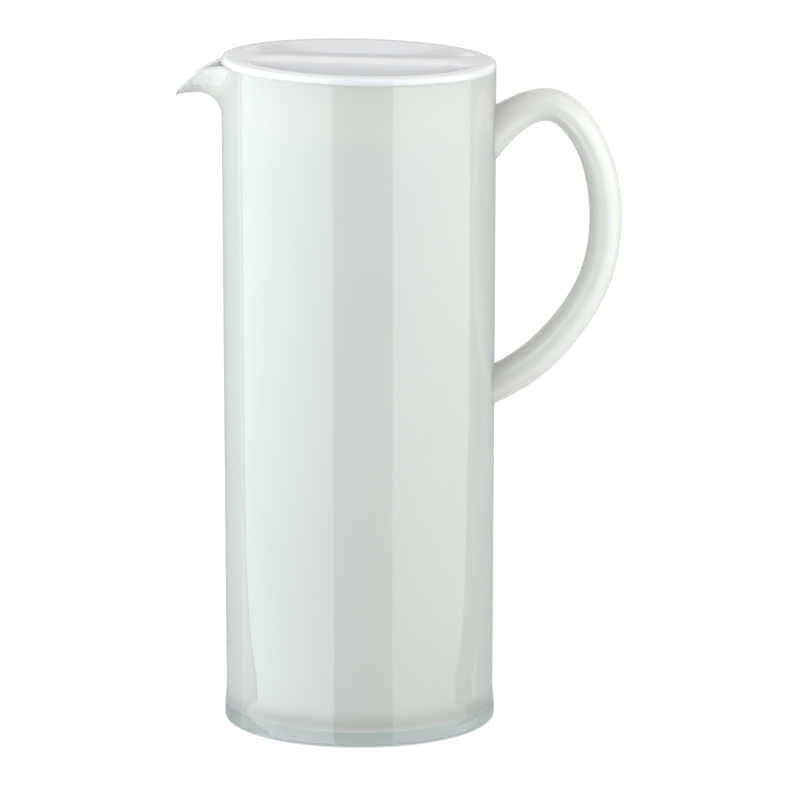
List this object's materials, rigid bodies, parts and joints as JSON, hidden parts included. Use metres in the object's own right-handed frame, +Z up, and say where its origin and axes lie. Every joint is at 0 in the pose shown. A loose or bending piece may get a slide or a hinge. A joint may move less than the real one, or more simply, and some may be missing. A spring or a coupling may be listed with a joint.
{
  "type": "acrylic carafe with lid",
  "caption": "Tall round two-layer acrylic carafe, pearl white under clear, with a beaked spout at a sloping rim, a loop handle and a flush push-in lid.",
  "frame": {"origin": "on the carafe's axis, in the plane it stands on", "axes": "+Z up; the spout points to -X and the handle to +X"},
  "size_m": [0.174, 0.107, 0.2646],
  "materials": {
    "clear_acrylic": "clear moulded acrylic, gloss",
    "pearl_acrylic": "pearl white moulded acrylic, gloss",
    "pearl_handle": "pearl white moulded acrylic, gloss",
    "opal_lid": "opal white moulded acrylic, gloss"
  },
  "bodies": {
    "root": {"clear_case": "clear_acrylic", "pearl_liner": "pearl_acrylic", "handle": "pearl_handle", "lid": "opal_lid"}
  },
  "joints": []
}
